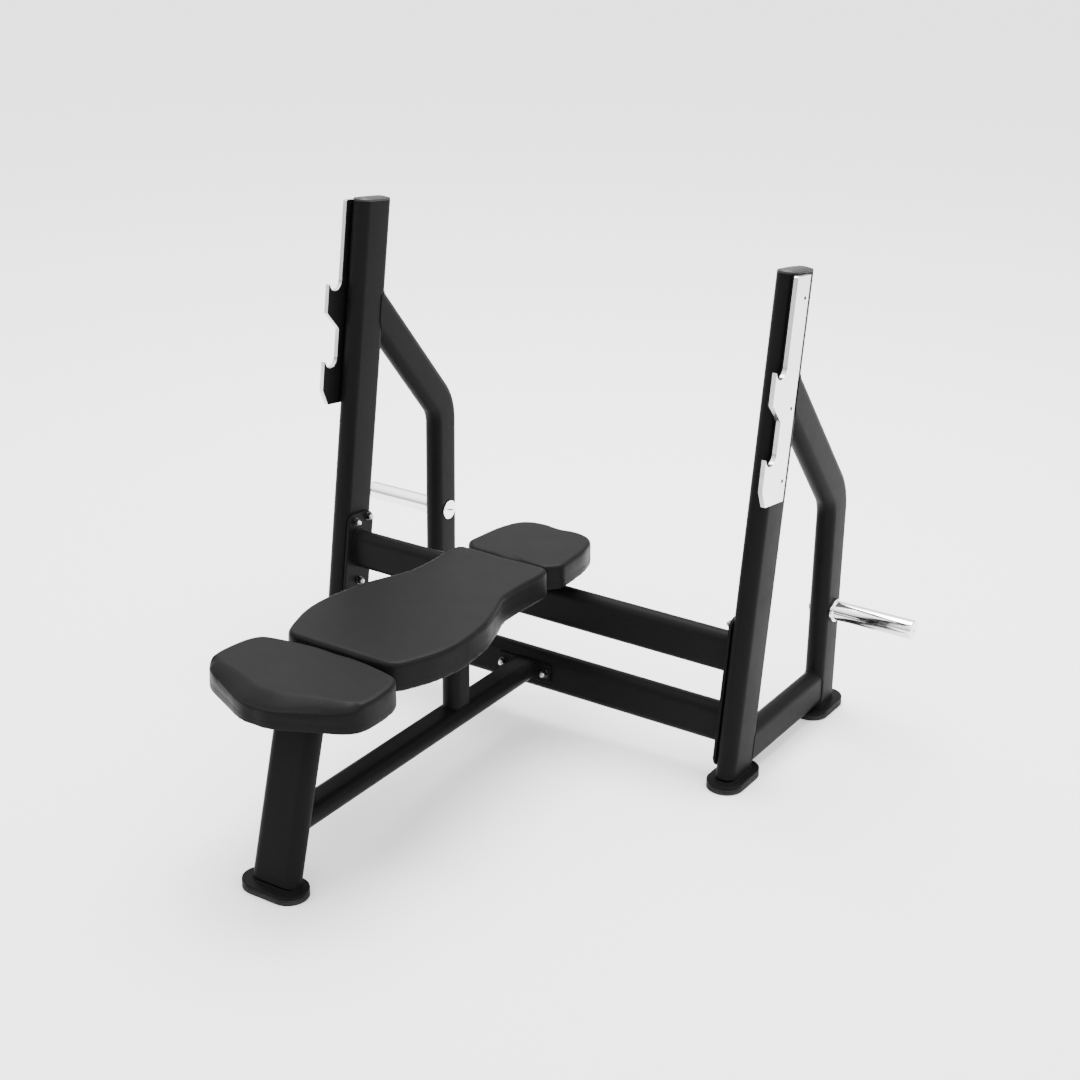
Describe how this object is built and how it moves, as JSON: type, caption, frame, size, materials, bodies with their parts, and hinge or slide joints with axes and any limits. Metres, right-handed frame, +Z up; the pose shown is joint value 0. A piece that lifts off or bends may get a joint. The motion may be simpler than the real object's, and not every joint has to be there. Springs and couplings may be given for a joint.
{
  "type": "flat bench press",
  "caption": "Flat weight bench with racking uprights, two-level bar catches, bent rear braces, storage pegs and a three-part padded top.",
  "frame": {"origin": "on the floor, under the middle of the bench's bounding box", "axes": "+X across the bench, to the right of someone who stands at the seat end and looks along it; +Y from the seat end to the head end; +Z up"},
  "size_m": [1.676, 1.5906, 1.2366],
  "materials": {
    "frame": "satin black powder coat",
    "chrome": "polished",
    "bolt": "zinc plated",
    "rubber": "matt",
    "plastic": "satin",
    "vinyl": "fine-grained upholstery vinyl",
    "board": "plywood wrapped in the black cover"
  },
  "bodies": {
    "root": {"left_upright": "frame", "right_upright": "frame", "left_upright_cap": "plastic", "right_upright_cap": "plastic", "left_rear_brace": "frame", "right_rear_brace": "frame", "left_side_beam": "frame", "right_side_beam": "frame", "left_front_foot_plate": "frame", "right_front_foot_plate": "frame", "left_rear_foot_plate": "frame", "right_rear_foot_plate": "frame", "left_front_foot_rubber": "rubber", "right_front_foot_rubber": "rubber", "left_rear_foot_rubber": "rubber", "right_rear_foot_rubber": "rubber", "left_catch_backing": "frame", "right_catch_backing": "frame", "left_catch_plate": "chrome", "right_catch_plate": "chrome", "left_weight_peg": "chrome", "right_weight_peg": "chrome", "left_peg_collar": "chrome", "right_peg_collar": "chrome", "left_peg_end_cap": "chrome", "right_peg_end_cap": "chrome", "left_peg_disc": "chrome", "right_peg_disc": "chrome", "upper_cross_beam": "frame", "lower_cross_beam": "frame", "left_end_plate": "frame", "right_end_plate": "frame", "left_bolt_top_front": "bolt", "right_bolt_top_front": "bolt", "left_bolt_top_rear": "bolt", "right_bolt_top_rear": "bolt", "left_bolt_middle": "bolt", "right_bolt_middle": "bolt", "left_bolt_bottom": "bolt", "right_bolt_bottom": "bolt", "lower_spine": "frame", "spine_flange": "frame", "spine_bolt_left": "bolt", "spine_bolt_right": "bolt", "mid_post": "frame", "upper_spine": "frame", "front_leg": "frame", "leg_foot_plate": "frame", "leg_foot_rubber": "rubber", "seat_bracket": "frame", "back_front_bracket": "frame", "back_rear_bracket": "frame", "head_bracket": "frame", "seat_board": "board", "back_board": "board", "head_board": "board", "seat_cushion": "vinyl", "back_cushion": "vinyl", "head_cushion": "vinyl"}
  },
  "joints": []
}
